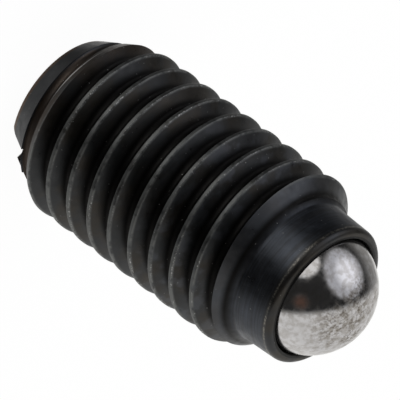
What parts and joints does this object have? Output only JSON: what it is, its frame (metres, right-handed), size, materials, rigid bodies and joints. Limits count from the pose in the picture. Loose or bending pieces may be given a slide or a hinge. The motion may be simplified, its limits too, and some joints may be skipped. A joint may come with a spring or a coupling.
{
  "type": "spring plunger",
  "caption": "Ball-nosed spring plunger: threaded steel sleeve with a driver slot, and a sprung ball held in its nose by a rolled lip.",
  "frame": {"origin": "centre of the slotted end face", "axes": "+Z along the screw axis, from the slotted end towards the ball; +X along the driver slot"},
  "size_m": [0.0118, 0.0118, 0.0248],
  "materials": {
    "black_oxide_steel": "satin",
    "spring_steel": "satin",
    "polished_ball_steel": "polished"
  },
  "bodies": {
    "housing": {"body": "black_oxide_steel", "spring": "spring_steel"},
    "ball": {"ball": "polished_ball_steel"}
  },
  "joints": [
    {"name": "ball_press", "type": "slide", "parent": "housing", "child": "ball", "axis": [0, 0, 1], "range_m": [-0.0025, 0], "stiffness_N_per_m": 9900, "springref_m": 0.0022, "deforming": ["spring"]}
  ]
}
